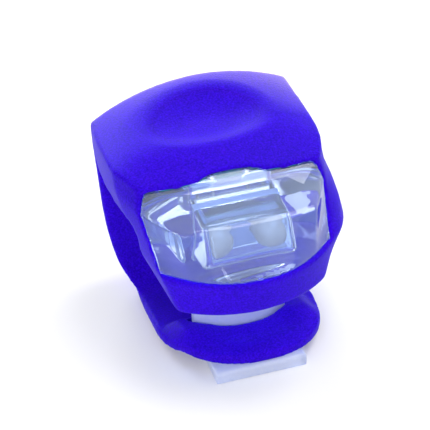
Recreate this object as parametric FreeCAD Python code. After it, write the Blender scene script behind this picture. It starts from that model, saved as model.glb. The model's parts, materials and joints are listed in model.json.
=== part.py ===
"""Strap-on bicycle light with a silicone body, a clear capsule and two light-emitting diodes.

Millimetres, +Z up, the lens looks along -Y. The model is drawn about the lower corners of the
lens opening and is then moved so that the origin lies in the middle of the hook's underside,
which is level with the surface that the light stands on.
"""

import FreeCAD
import Part

import math
import os

V = FreeCAD.Vector

# Handlebar and the passage that holds it
BAR_DIAMETER = 22.2
BAR_CLEARANCE = 0.05
PASSAGE_Y = 17.9
PASSAGE_Z = -5.95

# Silicone body
SKIN = 1.6
BACK_WALL = 2.0
SIDE_HALF_WIDTH = 17.8
BACK_TAPER = 0.4
SIDE_BULGE_Y = 22.0
ROOT_Z = 7.0
CHIN_Z = -7.2
CORNER_INSET_SHARE = 0.75

# Lower rim of the body's sides: round off behind the chin, then along to the strap's root
RIM_Z = 5.0
RIM_BACK_Z = 5.6
RIM_FRONT_DROP = 4.5
RIM_BEND = (0.7, 1.6)
RIM_LEVEL = (2.7, 0.4)
RIM_BACK_RUN = 4.5

# Outline of the silicone body at each height: middle of the front, front corner,
# start of the side as its inset from the widest place and its y
CHIN_FRONT = (-6.3, 12.0, -2.2, 5.3, 6.6)
SILL_FRONT = (-8.3, 14.1, -1.3, 2.4, 6.6)
EYE_FRONT = (3.5, 15.5, 5.4, 0.4, 12.0)
BROW_FRONT = (4.9, 14.9, 6.5, 0.3, 13.0)
CROWN_FRONT = (6.2, 14.9, 7.0, 0.3, 13.0)

# Arch in the brow over the board's front edge
ARCH_Y = 4.4
ARCH_HALF_X = 6.3
ARCH_HALF_Y = 2.2
BROW_SKIN = 0.7

# Loose flank of the silicone on the right: how far it stands outside the side, its y,
# and how far it takes the front corner with it
FLANK_Z = 3.5
FLANK_TOP_Z = 9.0
FLANK_BACK_Y = 24.0
FLANK_CHIN = (-3.0, 6.6, 1.0, 0.8)
FLANK_SILL = (1.4, 7.2, 0.0, 0.0)
FLANK_MIDDLE = (1.2, 9.0, 0.0, 0.0)
FLANK_EYE = (-0.2, 12.0, 0.0, 0.0)
FLANK_BROW = (-0.3, 13.0, 0.0, 0.0)
FLANK_CROWN = (-0.3, 13.5, 0.0, 0.0)

# Lens opening
LENS_KNEE_Z = 8.0
LENS_TOP_Z = 10.3
CLEAR_TOP_Z = 11.6
LENS_DEPTH = 9.0

# Outline of the lens at each height: middle of the front, end of the flat, outer corner
LENS_SILL = (-8.3, 10.3, -4.4, 14.0, -1.2)
LENS_KNEE = (-4.3, 11.0, -3.2, 15.2, 5.2)
LENS_BROW = (4.4, 7.5, 4.7, 14.4, 6.0)
CLEAR_BROW = (6.4, 7.5, 6.7, 14.0, 7.4)

# Dome: place along Y, height in the middle, at the left side and at the right side
DOME = (
    (-12.0, 4.6, 3.8, 3.8),
    (-3.0, 8.4, 7.4, 7.4),
    (6.0, 12.0, 10.4, 10.4),
    (13.0, 15.2, 11.8, 11.9),
    (20.0, 16.8, 12.0, 12.8),
    (27.0, 17.6, 12.0, 13.9),
    (34.0, 17.2, 11.4, 14.0),
)
DOME_BACK_CHAMFER = 0.8
DOME_BACK_LOW_Z = 12.0

# Dish over the button
DISH_Y = 19.3
DISH_Z = 14.7
DISH_TILT = 10.5
DISH_RADIUS_X = 88.0
DISH_RADIUS_Y = 15.8

# Press pad and its nub
PAD_HALF_X = 9.0
PAD_HALF_Y = 6.2
PAD_GAP = 0.15
PAD_THICKNESS = 1.5
PAD_TRAVEL = 0.5
NUB_RADIUS = 2.6
NUB_LENGTH = 0.6

# Clear capsule
WALL = 1.0
CEILING_Z = 12.1
FRONT_CEILING_Z = 11.15
FRONT_BAY_BACK_Y = 12.0
FLOOR_Z = -6.4
COVER_Z = 7.2
COVER_FRONT_Y = 8.4
COVER_GAP = 0.1
CHAMBER_HALF_WIDTH = 7.0
CHAMBER_LOW_Z = -0.2
CHAMBER_HIGH_Z = 6.6
CHAMBER_FRONT_Y = -2.7
CHAMBER_BACK_Y = 7.7
CHAMBER_CORNER = 1.4
BROW_WALL = 0.25

# Hook
SHANK_FRONT_Y = 1.9
SHANK_RADIUS = 12.4
SHANK_HALF_WIDTH = 8.0
SHANK_BACK_Y = 6.4
HOOK_THICKNESS = 1.9
TAB_HALF_WIDTH = 7.7
TAB_FRONT_Y = -6.9
TAB_CENTRE_Y = -2.0

# Strap
STRAP_THICKNESS = 2.0
STRAP_TAPER = ((7.0, 0.0), (1.0, 0.2), (-6.0, 0.5), (-12.5, 1.2), (-15.5, 2.1), (-17.1, 3.5))
STRAP_PLAN_Y = 15.9
LIP_OUTLINE = ((13.9, 8.0), (13.3, 4.0), (11.7, 0.0), (8.2, -3.9), (4.3, -5.7), (0.0, -6.2))
STRAP_RISE = 8.0
LIP_BEND_Y = 3.5
LIP_BEND_RADIUS = 53.5
LIP_DROOP = 4.0
SLOT_GAP = 0.2
SLOT_BACK_GAP = 0.6
SLOT_END_GAP = 0.8
NOOK_GAP = 0.2
ROOT_GAP = 0.02

# Circuit board
BOARD_Z = 9.8
BOARD_THICKNESS = 0.8
BOARD_FRONT_Y = 6.9
BOARD_BACK_Y = 27.9
BOARD_HALF_WIDTH = 12.4
BOARD_CORNER = 2.0

# Coin cells, stacked under the board
CELL_DIAMETER = 20.0
CELL_HEIGHT = 1.6
CELL_Y = 17.5
CELL_CAP_STEP = 0.25
CELL_RIM = 0.45
CELL_GASKET = 0.95
CELL_POCKET_GAP = 0.15
CONTACT_THICKNESS = 0.15
CONTACT_WIDTH = 5.0
CONTACT_LEG = 0.2
CONTACT_NOTCH_GAP = 0.1
LEAF_LENGTH = 8.0

# Light-emitting diodes
LED_X = 4.15
LED_Z = 3.1
LED_RADIUS = 2.5
LED_FLANGE_RADIUS = 2.8
LED_FLANGE = 1.0
LED_LENGTH = 8.6
LED_TIP_Y = -2.0
LEAD_WIDTH = 0.5
LEAD_PITCH = 2.54
LEAD_Y = 7.25
HOLDER_Y = 3.6
HOLDER_THICKNESS = 1.4
HOLDER_BORE_GAP = 0.05

# Push switch on the board
SWITCH_SIDE = 6.0
SWITCH_HEIGHT = 1.1
SWITCH_WALL = 0.8
SWITCH_FLOOR = 0.25
SWITCH_COVER = 0.1
SWITCH_STEM_RADIUS = 1.5
SWITCH_STEM_TOP = 12.3
SWITCH_STEM_FOOT = 1.9
SNAP_DISC_RADIUS = 2.0
SNAP_DISC_THICKNESS = 0.1
STEM_GAP = 0.05
STEM_FOOT_HEIGHT = 0.35

# Small parts on the board
CHIP = (4.0, 1.6, 0.45)
CHIP_PLACE = (-2.6, 8.6)
RESISTOR = (1.6, 0.8, 0.45)
RESISTOR_PLACES = ((2.2, 8.3), (4.8, 8.6))
CAPACITOR = (2.0, 1.2, 0.45)
CAPACITOR_PLACE = (8.2, 8.5)

# Values that follow from the sizes above
BACK_HALF_WIDTH = SIDE_HALF_WIDTH - BACK_TAPER
CELL_CAP_RADIUS = CELL_DIAMETER / 2 - CELL_RIM - CELL_GASKET
PASSAGE_RADIUS = BAR_DIAMETER / 2 + BAR_CLEARANCE
FRONT_WALL_Y = PASSAGE_Y - PASSAGE_RADIUS
STRAP_INNER_Y = PASSAGE_Y + PASSAGE_RADIUS
BACK_Y = STRAP_INNER_Y + BACK_WALL
BOARD_TOP = BOARD_Z + BOARD_THICKNESS
POCKET_FLOOR = PASSAGE_Z + PASSAGE_RADIUS + WALL
CELL_LOW = POCKET_FLOOR + CONTACT_THICKNESS
LEG_Y = CELL_Y + CELL_DIAMETER / 2 + CELL_POCKET_GAP
FAR = 60.0
EIGHTH = math.radians(45)
TOUCH = 0.05


def face_of(edges):
    """Face bounded by the edges."""
    return Part.Face(Part.Wire(edges))


def polyline(points):
    """Edges between neighbouring points, closed."""
    closed = list(points) + [points[0]]
    return [Part.makeLine(a, b) for a, b in zip(closed[:-1], closed[1:])]


def arc(a, middle, b):
    """Arc from a to b through the middle point."""
    return Part.Arc(a, middle, b).toShape()


def smooth_curve(points):
    """Smooth edge through the points."""
    curve = Part.BSplineCurve()
    curve.interpolate(points)
    return curve.toShape()


def box(low, high):
    """Box between two corners."""
    size = [h - l for l, h in zip(low, high)]
    return Part.makeBox(size[0], size[1], size[2], V(*low))


def mirrored(edge_points):
    """The same points on the other side of the middle plane."""
    return [V(-p.x, p.y, p.z) for p in edge_points]


def body_section(z, front, inset, back_y, flank=None):
    """Closed outline of the silicone body at height z, drawn in by the inset."""
    middle_y, corner_x, corner_y, side_inset, side_y = front
    half = inset * CORNER_INSET_SHARE
    corner = V(corner_x - half, corner_y + half, z)
    side = V(SIDE_HALF_WIDTH - side_inset - inset, side_y, z)
    bulge = V(SIDE_HALF_WIDTH - inset, SIDE_BULGE_Y, z)
    back = V(BACK_HALF_WIDTH - inset, back_y, z)
    left = mirrored((corner, side, bulge, back))
    if flank:
        out, loose_y, drag_x, drag_y = flank
        corner = corner + V(drag_x, drag_y, 0)
        loose = V(SIDE_HALF_WIDTH + out - inset, loose_y, z)
        right = [smooth_curve([corner, loose, bulge, back])]
    else:
        right = [Part.makeLine(corner, side), arc(side, bulge, back)]
    return Part.Wire([
        arc(left[0], V(0, middle_y + inset, z), corner),
        *right,
        Part.makeLine(back, left[3]),
        arc(left[3], left[2], left[1]),
        Part.makeLine(left[1], left[0]),
    ])


def body_column(inset, floor_z, back_y, loose=False):
    """Upright block with the plan shape of the body, open-ended above the dome."""
    share = FLANK_Z / LENS_KNEE_Z
    middle_front = [a + (b - a) * share for a, b in zip(SILL_FRONT, EYE_FRONT)]
    sections = (
        (floor_z, CHIN_FRONT, FLANK_CHIN),
        (0.0, SILL_FRONT, FLANK_SILL),
        (FLANK_Z, middle_front, FLANK_MIDDLE),
        (LENS_KNEE_Z, EYE_FRONT, FLANK_EYE),
        (LENS_TOP_Z, BROW_FRONT, FLANK_BROW),
        (FAR / 2, CROWN_FRONT, FLANK_CROWN),
    )
    wires = [body_section(z, front, inset, back_y, flank if loose else None)
             for z, front, flank in sections]
    return Part.makeLoft(wires, True, True)


def dome_block(drop):
    """Everything under the dome, lowered by the drop: smooth outside, ruled inside."""
    wires = []
    reach = BACK_HALF_WIDTH + 2 * STRAP_THICKNESS
    growth = (reach / BACK_HALF_WIDTH) ** 2
    for y, middle, left, right in DOME:
        tilt = (right - left) / 2 * (reach / BACK_HALF_WIDTH)
        fall = (middle - (left + right) / 2) * growth
        a = V(-reach, y, middle - drop - fall - tilt)
        b = V(reach, y, middle - drop - fall + tilt)
        low_a, low_b = V(-reach, y, -FAR), V(reach, y, -FAR)
        wires.append(Part.Wire([
            arc(a, V(0, y, middle - drop), b),
            Part.makeLine(b, low_b),
            Part.makeLine(low_b, low_a),
            Part.makeLine(low_a, a),
        ]))
    return Part.makeLoft(wires, True, drop > 0)


def dish_tool(drop):
    """Thick ring whose lowest stretch presses the dish into the dome, lowered by the drop."""
    hub = V(0, DISH_Y, DISH_Z + DISH_RADIUS_X)
    ring = Part.makeTorus(DISH_RADIUS_X - DISH_RADIUS_Y, DISH_RADIUS_Y, hub, V(0, 1, 0))
    ring.rotate(V(0, DISH_Y, DISH_Z), V(1, 0, 0), DISH_TILT)
    ring.translate(V(0, 0, -drop))
    return ring


def over_dish(drop):
    """Everything above a plane that lies along the dish, lowered by the drop."""
    block = box((-FAR, DISH_Y - FAR, DISH_Z), (FAR, DISH_Y + FAR, DISH_Z + FAR))
    block.rotate(V(0, DISH_Y, DISH_Z), V(1, 0, 0), DISH_TILT)
    block.translate(V(0, 0, -drop))
    return block


def oval_prism(half_x, half_y, low_z, high_z, middle_y=DISH_Y):
    """Upright oval block, about the middle of the dish unless another y is given."""
    ellipse = Part.Ellipse(V(0, middle_y, low_z), half_x, half_y).toShape()
    return face_of([ellipse]).extrude(V(0, 0, high_z - low_z))


def passage_cut():
    """Space of the handlebar: round against the capsule and open towards the strap."""
    start = V(-FAR, FRONT_WALL_Y, PASSAGE_Z)
    middle = V(-FAR, PASSAGE_Y - PASSAGE_RADIUS * math.cos(EIGHTH),
               PASSAGE_Z + PASSAGE_RADIUS * math.sin(EIGHTH))
    top = V(-FAR, PASSAGE_Y, PASSAGE_Z + PASSAGE_RADIUS)
    edges = [arc(start, middle, top)]
    points = [top, V(-FAR, STRAP_INNER_Y - PASSAGE_RADIUS / 4, top.z),
              V(-FAR, STRAP_INNER_Y, ROOT_Z), V(-FAR, FAR, ROOT_Z),
              V(-FAR, FAR, -FAR), V(-FAR, FRONT_WALL_Y, -FAR), start]
    edges += [Part.makeLine(a, b) for a, b in zip(points[:-1], points[1:])]
    return face_of(edges).extrude(V(2 * FAR, 0, 0))


def rim_cut():
    """Space below the lower rim of the silicone body's sides."""
    low = V(-FAR, FRONT_WALL_Y, RIM_Z - RIM_FRONT_DROP)
    bend = V(-FAR, FRONT_WALL_Y + RIM_BEND[0], RIM_Z - RIM_BEND[1])
    level = V(-FAR, FRONT_WALL_Y + RIM_LEVEL[0], RIM_Z - RIM_LEVEL[1])
    points = [level, V(-FAR, STRAP_INNER_Y - RIM_BACK_RUN, RIM_BACK_Z), V(-FAR, STRAP_INNER_Y, ROOT_Z),
              V(-FAR, FAR, ROOT_Z), V(-FAR, FAR, -FAR), V(-FAR, FRONT_WALL_Y, -FAR), low]
    edges = [arc(low, bend, level)]
    edges += [Part.makeLine(a, b) for a, b in zip(points[:-1], points[1:])]
    return face_of(edges).extrude(V(2 * FAR, 0, 0))


def lens_section(z, outline):
    """Closed outline of the lens block at height z."""
    middle_y, flat_x, flat_y, corner_x, corner_y = outline
    flat, corner = V(flat_x, flat_y, z), V(corner_x, corner_y, z)
    back = V(corner_x - SKIN, LENS_DEPTH, z)
    left = mirrored((flat, corner, back))
    return Part.Wire([
        arc(left[0], V(0, middle_y, z), flat),
        Part.makeLine(flat, corner),
        Part.makeLine(corner, back),
        Part.makeLine(back, left[2]),
        Part.makeLine(left[2], left[1]),
        Part.makeLine(left[1], left[0]),
    ])


def lens_block():
    """Thick clear lens: wings at the sides, a knee across the front, and its top under the brow."""
    sections = ((0.0, LENS_SILL), (LENS_KNEE_Z, LENS_KNEE), (LENS_TOP_Z, LENS_BROW),
                (CLEAR_TOP_Z, CLEAR_BROW))
    block = Part.makeLoft([lens_section(z, outline) for z, outline in sections], True, True)
    reach = BACK_HALF_WIDTH
    roof = box((-reach, LENS_BROW[0], LENS_TOP_Z), (reach, LENS_DEPTH + WALL, DISH_Z))
    return block.cut(roof.cut(dome_block(BROW_SKIN)))


def capsule_solid():
    """Outer shape of the clear capsule with its lens, before it is hollowed."""
    inner = body_column(SKIN, FLOOR_Z, STRAP_INNER_Y)
    inner = inner.common(dome_block(SKIN)).cut(dish_tool(SKIN))
    return inner.fuse(lens_block()).cut(passage_cut()).removeSplitter()


def strap_path():
    """Points of the strap's inner face in side view, from its root to its lip."""
    rise = math.radians(STRAP_RISE)
    droop = math.radians(-LIP_DROOP)
    under = V(0, PASSAGE_Y - PASSAGE_RADIUS * math.sin(rise),
              PASSAGE_Z - PASSAGE_RADIUS * math.cos(rise))
    run = (under.y - LIP_BEND_Y) / math.cos(rise)
    bend = V(0, LIP_BEND_Y, under.z + run * math.sin(rise))
    centre = V(0, bend.y - LIP_BEND_RADIUS * math.sin(rise),
               bend.z - LIP_BEND_RADIUS * math.cos(rise))
    return rise, droop, under, bend, centre


def lip_top(y):
    """Height of the lip's upper face at y."""
    centre = strap_path()[4]
    return centre.z + math.sqrt(LIP_BEND_RADIUS ** 2 - (y - centre.y) ** 2)


TAB_TOP_Z = lip_top(TAB_FRONT_Y) - STRAP_THICKNESS - NOOK_GAP
FLOOR_LEVEL = PASSAGE_Z - PASSAGE_RADIUS - STRAP_THICKNESS
ORIGIN = V(0, TAB_CENTRE_Y, FLOOR_LEVEL)


def strap_side():
    """Side outline of the strap: down the back, round the bar and forward to the lip."""
    rise, droop, under, bend, centre = strap_path()
    t = STRAP_THICKNESS
    def on_bar(angle, extra):
        reach = PASSAGE_RADIUS + extra
        return V(0, PASSAGE_Y + reach * math.cos(angle), PASSAGE_Z + reach * math.sin(angle))

    def on_lip(angle, extra):
        reach = LIP_BEND_RADIUS - extra
        return V(0, centre.y + reach * math.sin(angle), centre.z + reach * math.cos(angle))

    end = math.radians(-90) - rise
    half = (rise + droop) / 2
    tip = on_lip(droop, t / 2) + V(0, -t / 2, 0)
    root_z = ROOT_Z - ROOT_GAP
    edges = [
        Part.makeLine(V(0, STRAP_INNER_Y, root_z), on_bar(0, 0)),
        arc(on_bar(0, 0), on_bar(-EIGHTH, 0), on_bar(end, 0)),
        Part.makeLine(on_bar(end, 0), on_lip(rise, 0)),
        arc(on_lip(rise, 0), on_lip(half, 0), on_lip(droop, 0)),
        arc(on_lip(droop, 0), tip, on_lip(droop, t)),
        arc(on_lip(droop, t), on_lip(half, t), on_lip(rise, t)),
        Part.makeLine(on_lip(rise, t), on_bar(end, t)),
        arc(on_bar(end, t), on_bar(-EIGHTH, t), on_bar(0, t)),
        Part.makeLine(on_bar(0, t), V(0, BACK_Y, root_z)),
        Part.makeLine(V(0, BACK_Y, root_z), V(0, STRAP_INNER_Y, root_z)),
    ]
    return face_of(edges)


def strap_front_outline():
    """Front view of the strap: widest at its root, narrow under the bar."""
    right = [V(BACK_HALF_WIDTH - inset, 0, z) for z, inset in STRAP_TAPER]
    left = mirrored(right[::-1])
    foot_right, foot_left = V(right[-1].x, 0, -FAR), V(left[0].x, 0, -FAR)
    edges = [
        smooth_curve(right),
        Part.makeLine(right[-1], foot_right),
        Part.makeLine(foot_right, foot_left),
        Part.makeLine(foot_left, left[0]),
        smooth_curve(left),
        Part.makeLine(left[-1], right[0]),
    ]
    face = face_of(edges)
    face.translate(V(0, -FAR, 0))
    return face.extrude(V(0, 2 * FAR, 0))


def strap_plan_outline():
    """Plan view of the strap with its round end."""
    z = -FAR
    right = [V(x, y, z) for x, y in LIP_OUTLINE]
    points = right + mirrored(right[-2::-1])
    end_x = right[0].x
    corners = [points[-1], V(-end_x, STRAP_PLAN_Y, z), V(-FAR, STRAP_PLAN_Y, z), V(-FAR, FAR, z),
               V(FAR, FAR, z), V(FAR, STRAP_PLAN_Y, z), V(end_x, STRAP_PLAN_Y, z), points[0]]
    edges = [Part.makeLine(a, b) for a, b in zip(corners[:-1], corners[1:])]
    return face_of([smooth_curve(points)] + edges).extrude(V(0, 0, 2 * FAR))


def ring_piece(outer, inner, centre_y, half_width, back_y, low_z, high_z):
    """Front part of an upright ring, cut to a width and at the back."""
    height = high_z - low_z
    ring = Part.makeCylinder(outer, height, V(0, centre_y, low_z))
    ring = ring.cut(Part.makeCylinder(inner, height, V(0, centre_y, low_z)))
    return ring.common(box((-half_width, centre_y - outer, low_z), (half_width, back_y, high_z)))


def silicone_strap():
    """Strap with the crescent slot that the hook's shank goes through."""
    strap = strap_side().extrude(V(2 * FAR, 0, 0))
    strap.translate(V(-FAR, 0, 0))
    strap = strap.common(strap_front_outline()).common(strap_plan_outline())
    slot = ring_piece(
        SHANK_RADIUS + SLOT_GAP, SHANK_RADIUS - HOOK_THICKNESS - SLOT_BACK_GAP,
        SHANK_FRONT_Y + SHANK_RADIUS, SHANK_HALF_WIDTH + SLOT_END_GAP,
        SHANK_BACK_Y + SLOT_BACK_GAP, -FAR, FLOOR_Z,
    )
    return strap.cut(slot)


def hook():
    """Curved shank and flat tab of the hook under the capsule."""
    centre_y = SHANK_FRONT_Y + SHANK_RADIUS
    shank = ring_piece(SHANK_RADIUS, SHANK_RADIUS - HOOK_THICKNESS, centre_y,
                       SHANK_HALF_WIDTH, SHANK_BACK_Y, FLOOR_LEVEL, FLOOR_Z + WALL)
    tab = box((-TAB_HALF_WIDTH, TAB_FRONT_Y, FLOOR_LEVEL), (TAB_HALF_WIDTH, SHANK_BACK_Y, TAB_TOP_Z))
    tab = tab.cut(Part.makeCylinder(SHANK_RADIUS - HOOK_THICKNESS, 2 * FAR, V(0, centre_y, -FAR)))
    lip = strap_side().extrude(V(2 * FAR, 0, 0))
    lip.translate(V(-FAR, 0, -NOOK_GAP))
    tab = tab.cut(lip)
    return shank.fuse(tab).removeSplitter()


def cell_pocket():
    """Round pocket of the coin cells with the notch of the contact leg."""
    radius = CELL_DIAMETER / 2 + CELL_POCKET_GAP
    pocket = Part.makeCylinder(radius, BOARD_Z - POCKET_FLOOR, V(0, CELL_Y, POCKET_FLOOR))
    half = CONTACT_WIDTH / 2 + CONTACT_NOTCH_GAP
    notch = box((-half, CELL_Y, POCKET_FLOOR),
                (half, LEG_Y + CONTACT_LEG + CONTACT_NOTCH_GAP, BOARD_Z))
    return pocket.fuse(notch)


def cavity(clear_z):
    """Inside of the capsule: board bay, cell pocket and diode chamber."""
    inset = SKIN + WALL
    bay = body_column(inset, FLOOR_Z + WALL, STRAP_INNER_Y - WALL)
    bay = bay.common(box((-FAR, BOARD_FRONT_Y - COVER_GAP, BOARD_Z - COVER_GAP), (FAR, FAR, CEILING_Z)))
    bay = bay.common(dome_block(inset))
    chamber = box((-CHAMBER_HALF_WIDTH, CHAMBER_FRONT_Y, CHAMBER_LOW_Z),
                  (CHAMBER_HALF_WIDTH, CHAMBER_BACK_Y, CHAMBER_HIGH_Z))
    front = [e for e in chamber.Edges if e.BoundBox.YMax < CHAMBER_FRONT_Y + TOUCH]
    chamber = chamber.makeFillet(CHAMBER_CORNER, front)
    well = box((-CHAMBER_HALF_WIDTH, BOARD_FRONT_Y - COVER_GAP, CHAMBER_LOW_Z),
               (CHAMBER_HALF_WIDTH, CHAMBER_BACK_Y, clear_z))
    reach = BOARD_HALF_WIDTH + COVER_GAP
    front_bay = box((-reach, BOARD_FRONT_Y - COVER_GAP, BOARD_Z - COVER_GAP),
                    (reach, FRONT_BAY_BACK_Y, FRONT_CEILING_Z))
    front_bay = front_bay.common(dome_block(BROW_SKIN + BROW_WALL))
    return bay.fuse(front_bay).fuse(chamber).fuse(well).fuse(cell_pocket())


def cover_region(gap):
    """Part of the capsule that comes off below the cells."""
    return box((-FAR, COVER_FRONT_Y - gap, -FAR), (FAR, FAR, COVER_Z + gap))


def clear_housing(capsule):
    """Clear housing: lens, bay and hook in one moulding."""
    pad_well = oval_prism(PAD_HALF_X + 2 * PAD_GAP, PAD_HALF_Y + 2 * PAD_GAP, CEILING_Z, FAR)
    pad_well = pad_well.common(over_dish(PAD_THICKNESS + PAD_TRAVEL + PAD_GAP))
    nub_hole = Part.makeCylinder(NUB_RADIUS + PAD_TRAVEL, FAR, V(0, DISH_Y, BOARD_TOP))
    housing = capsule.cut(cavity(BOARD_Z)).cut(pad_well).cut(nub_hole)
    return housing.cut(cover_region(0.0)).fuse(hook()).removeSplitter()


def battery_cover(capsule):
    """Clear cover under the cells, with the saddle that bears on the handlebar."""
    cover = capsule.common(cover_region(-COVER_GAP))
    return cover.cut(cavity(BOARD_Z))


def opening_cut():
    """Space in front of the lens edge, as wide as the lens."""
    knee_x, knee_y = LENS_KNEE[3:]
    brow_x, brow_y = LENS_BROW[3:]
    sill_x, sill_y = LENS_SILL[3:]
    right = [V(sill_x, -FAR, 0), V(knee_x, -FAR, LENS_KNEE_Z), V(brow_x, -FAR, LENS_TOP_Z)]
    front = face_of(polyline(right + mirrored(right[::-1]))).extrude(V(0, 2 * FAR, 0))
    side = [V(-FAR, sill_y, 0), V(-FAR, knee_y, LENS_KNEE_Z), V(-FAR, brow_y, LENS_TOP_Z),
            V(-FAR, -FAR, LENS_TOP_Z), V(-FAR, -FAR, 0)]
    return front.common(face_of(polyline(side)).extrude(V(2 * FAR, 0, 0)))


def silicone_hood(capsule):
    """Silicone skin over the capsule, with the lens opening and the button opening."""
    hood = body_column(0.0, CHIN_Z, BACK_Y, loose=True).common(dome_block(0.0))
    hood = hood.makeChamfer(DOME_BACK_CHAMFER, [e for e in hood.Edges if is_dome_back(e)])
    hood = hood.cut(rim_cut()).cut(dish_tool(0.0)).cut(capsule).cut(opening_cut())
    opening = oval_prism(PAD_HALF_X + PAD_GAP, PAD_HALF_Y + PAD_GAP, BOARD_TOP, FAR)
    arch = oval_prism(ARCH_HALF_X, ARCH_HALF_Y, LENS_TOP_Z - SKIN, FAR / 2, ARCH_Y)
    hood = hood.cut(opening).cut(arch)
    under = box((-FAR, -FAR, -FAR), (FAR, FAR, CHIN_Z + SKIN))
    core = body_column(SKIN, CHIN_Z - SKIN, STRAP_INNER_Y)
    flank = box((0, -FAR, -FAR), (FAR, FLANK_BACK_Y, FLANK_TOP_Z))
    slack = body_column(SKIN, CHIN_Z - SKIN, STRAP_INNER_Y, loose=True)
    return hood.cut(core.common(under)).cut(slack.common(flank))


def is_dome_back(edge):
    """True for the edge between the dome and the back wall."""
    bounds = edge.BoundBox
    at_back = bounds.YMin > BACK_Y - TOUCH and bounds.ZMax > DOME_BACK_LOW_Z
    return at_back and bounds.XLength > BACK_HALF_WIDTH


def press_pad():
    """Thumb pad in the dish, with the nub that reaches the switch."""
    pad = oval_prism(PAD_HALF_X, PAD_HALF_Y, BOARD_TOP, DISH_Z + DISH_RADIUS_Y)
    pad = pad.common(over_dish(PAD_THICKNESS)).cut(dish_tool(0.0))
    top = DISH_Z - PAD_THICKNESS / 2
    low = DISH_Z - PAD_THICKNESS - NUB_LENGTH
    nub = Part.makeCylinder(NUB_RADIUS, top - low, V(0, DISH_Y, low))
    return pad.fuse(nub).removeSplitter()


def circuit_board():
    """Board with round corners and the holes of the diode leads."""
    board = box((-BOARD_HALF_WIDTH, BOARD_FRONT_Y, BOARD_Z), (BOARD_HALF_WIDTH, BOARD_BACK_Y, BOARD_TOP))
    uprights = [e for e in board.Edges if e.BoundBox.ZLength > BOARD_THICKNESS / 2]
    board = board.makeFillet(BOARD_CORNER, uprights)
    for x in lead_places():
        hole = box((x - LEAD_WIDTH / 2, LEAD_Y - LEAD_WIDTH / 2, BOARD_Z),
                   (x + LEAD_WIDTH / 2, LEAD_Y + LEAD_WIDTH / 2, BOARD_TOP))
        board = board.cut(hole)
    return board


def lead_places():
    """X of each diode lead."""
    return [side * LED_X + leg * LEAD_PITCH / 2 for side in (-1, 1) for leg in (-1, 1)]


def led(side):
    """Round-nosed diode with its flange, looking forward."""
    x = side * LED_X
    nose = LED_RADIUS
    back_y = LED_TIP_Y + LED_LENGTH
    body = Part.makeCylinder(nose, LED_LENGTH - nose, V(x, LED_TIP_Y + nose, LED_Z), V(0, 1, 0))
    tip = Part.makeSphere(nose, V(x, LED_TIP_Y + nose, LED_Z))
    flange = Part.makeCylinder(LED_FLANGE_RADIUS, LED_FLANGE, V(x, back_y - LED_FLANGE, LED_Z), V(0, 1, 0))
    return body.fuse(tip).fuse(flange).removeSplitter()


def led_leads():
    """Four square leads: back from the diodes, then up into the board."""
    half = LEAD_WIDTH / 2
    back_y = LED_TIP_Y + LED_LENGTH
    leads = []
    for x in lead_places():
        run = box((x - half, back_y, LED_Z - half), (x + half, LEAD_Y + half, LED_Z + half))
        rise = box((x - half, LEAD_Y - half, LED_Z - half), (x + half, LEAD_Y + half, BOARD_TOP))
        leads.append(run.fuse(rise).removeSplitter())
    return Part.makeCompound(leads)


def led_holder():
    """Plate across the chamber that holds both diodes."""
    plate = box((-CHAMBER_HALF_WIDTH, HOLDER_Y, CHAMBER_LOW_Z),
                (CHAMBER_HALF_WIDTH, HOLDER_Y + HOLDER_THICKNESS, CHAMBER_HIGH_Z))
    for side in (-1, 1):
        bore = Part.makeCylinder(LED_RADIUS + HOLDER_BORE_GAP, FAR, V(side * LED_X, -FAR / 2, LED_Z), V(0, 1, 0))
        plate = plate.cut(bore)
    return plate


def cell_parts(low_z):
    """Can, gasket and cap of one coin cell whose cap faces down."""
    radius = CELL_DIAMETER / 2
    centre = V(0, CELL_Y, low_z)
    step = V(0, CELL_Y, low_z + CELL_CAP_STEP)
    can = Part.makeCylinder(radius, CELL_HEIGHT - CELL_CAP_STEP, step)
    can = can.cut(Part.makeCylinder(radius - CELL_RIM, CELL_HEIGHT / 2, step))
    cap = Part.makeCylinder(CELL_CAP_RADIUS, CELL_HEIGHT / 2 + CELL_CAP_STEP, centre)
    gasket = Part.makeCylinder(radius - CELL_RIM, CELL_HEIGHT / 2, step)
    gasket = gasket.cut(Part.makeCylinder(CELL_CAP_RADIUS, CELL_HEIGHT / 2, step))
    return can, gasket, cap


def contacts():
    """Strip under the lower cell with its leg to the board, and the leaf over the upper cell."""
    half = CONTACT_WIDTH / 2
    strip = box((-half, CELL_Y - half, POCKET_FLOOR),
                (half, LEG_Y + CONTACT_LEG, POCKET_FLOOR + CONTACT_THICKNESS))
    leg = box((-half, LEG_Y, POCKET_FLOOR), (half, LEG_Y + CONTACT_LEG, BOARD_Z))
    leaf_low = CELL_LOW + 2 * CELL_HEIGHT
    leaf = box((-half, CELL_Y - LEAF_LENGTH / 2, leaf_low),
               (half, CELL_Y + LEAF_LENGTH / 2, BOARD_Z))
    return strip.fuse(leg).removeSplitter(), leaf


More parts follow.
